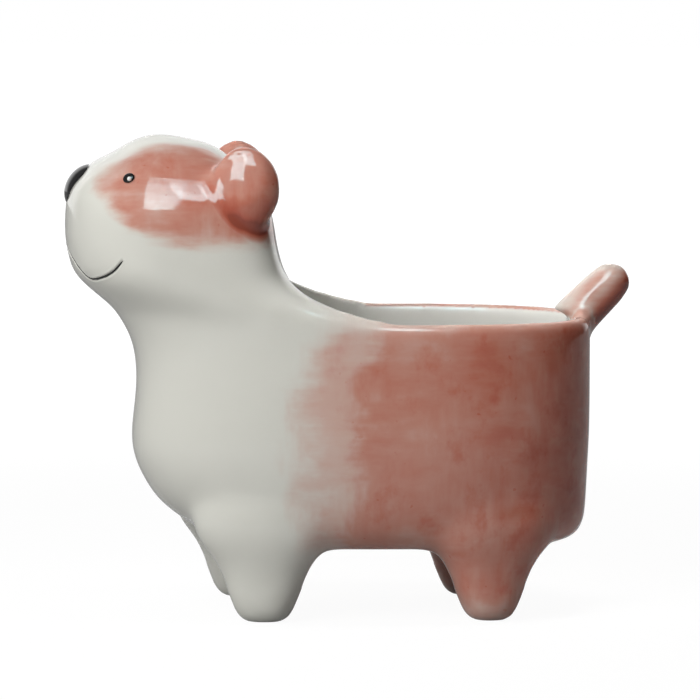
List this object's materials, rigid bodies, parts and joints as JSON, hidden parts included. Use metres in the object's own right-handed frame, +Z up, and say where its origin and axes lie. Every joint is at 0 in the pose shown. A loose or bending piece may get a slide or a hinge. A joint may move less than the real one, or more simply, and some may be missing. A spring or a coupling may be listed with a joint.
{
  "type": "animal shaped planter",
  "caption": "Glazed stoneware planter in the shape of a standing dog, with an open back that holds a small plant, short legs, hanging ears and a tail over the rim.",
  "frame": {"origin": "on the ground, in the middle plane of the dog, midway between the front of the muzzle and the end of the tail", "axes": "+X from the muzzle to the tail, +Y across to the dog's right, +Z up"},
  "size_m": [0.1781, 0.0922, 0.1486],
  "materials": {
    "trunk_glaze": "gloss clear glaze over a brushed rose wash",
    "clear_glaze": "gloss clear glaze over off-white stoneware",
    "rose_glaze": "gloss clear glaze over a brushed rose wash",
    "black_glaze": "gloss",
    "white_dot": "gloss"
  },
  "bodies": {
    "root": {"trunk_pot": "trunk_glaze", "head": "clear_glaze", "foreleg_left": "clear_glaze", "foreleg_right": "clear_glaze", "hindleg_left": "rose_glaze", "hindleg_right": "rose_glaze", "ear_left": "rose_glaze", "ear_right": "rose_glaze", "tail": "rose_glaze", "nose": "black_glaze", "eye_left": "black_glaze", "eye_right": "black_glaze", "catchlight_left": "white_dot", "catchlight_right": "white_dot", "mouth_line": "black_glaze"}
  },
  "joints": []
}
